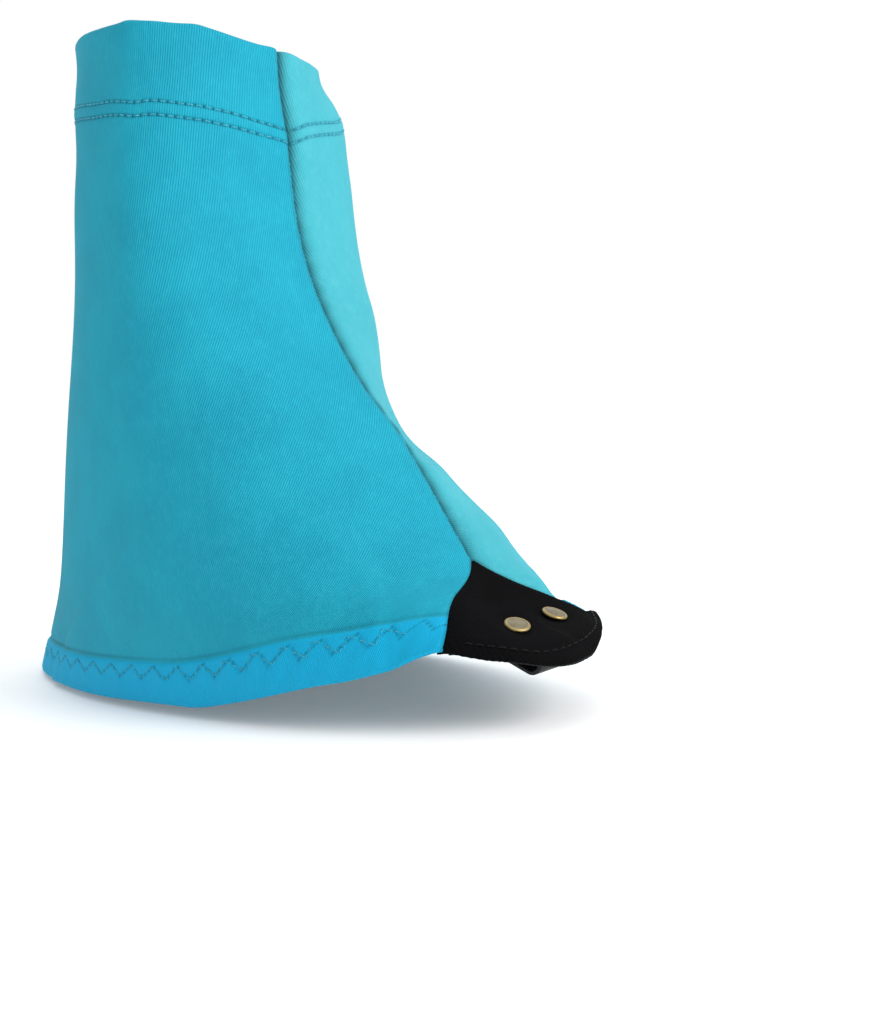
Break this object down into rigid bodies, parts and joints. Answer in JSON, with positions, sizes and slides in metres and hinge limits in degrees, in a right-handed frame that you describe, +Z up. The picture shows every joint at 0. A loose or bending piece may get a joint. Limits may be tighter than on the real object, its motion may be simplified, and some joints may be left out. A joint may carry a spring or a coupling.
{
  "type": "running gaiter",
  "caption": "Ankle-high stretch gaiter with a riveted front patch, a lace hook, an elastic hem and hook-and-loop heel tape, to keep grit out of a low shoe.",
  "frame": {"origin": "middle of the bounding box on the surface that the hem stands on", "axes": "+Z up the leg, the toe points along -Y, +X is the outer side of a left foot; the part is its own mirror image across X = 0"},
  "size_m": [0.102, 0.229, 0.197],
  "materials": {
    "knit_medial": "turquoise stretch knit, fine vertical wales, slight sheen",
    "knit_lateral": "turquoise stretch knit, fine vertical wales, slight sheen",
    "rib_black": "black ribbed knit, matt",
    "lining_black": "black woven lining, matt",
    "elastic_white": "white knitted elastic",
    "elastic_black": "black knitted elastic",
    "thread_teal": "dark teal polyester thread",
    "thread_black": "black polyester thread",
    "rivet_brass": "satin antique brass",
    "hook_metal": "black powder coat",
    "tape_black": "black nylon hook-and-loop tape"
  },
  "bodies": {
    "gaiter": {"medial_panel": "knit_medial", "lateral_panel": "knit_lateral", "cuff_elastic": "elastic_white", "cuff_stitch_upper": "thread_teal", "cuff_stitch_lower": "thread_teal", "cuff_looper_thread": "thread_teal", "hem_elastic": "elastic_black", "hem_zigzag_stitch": "thread_teal", "front_seam_overlock": "thread_teal", "back_seam_overlock": "thread_teal", "patch_seam_overlock": "thread_black", "heel_loop_tape": "tape_black", "heel_tape_stitch": "thread_teal"},
    "front_tab": {"front_patch": "rib_black", "front_patch_lining": "lining_black", "patch_edge_stitch": "thread_black", "rivet_caps": "rivet_brass", "rivet_backs": "rivet_brass", "lace_hook": "hook_metal"},
    "shoe_tape": {"shoe_hook_tape": "tape_black"}
  },
  "joints": [
    {"name": "front_tab_lift", "type": "hinge", "parent": "gaiter", "child": "front_tab", "pos_m": [0, -0.088, 0.031], "axis": [-1, 0, 0], "range_deg": [0, 60], "deforming": ["front_patch", "front_patch_lining"]},
    {"name": "heel_tape_peel", "type": "slide", "parent": "gaiter", "child": "shoe_tape", "axis": [0, -1, 0], "range_m": [0, 0.03]}
  ]
}
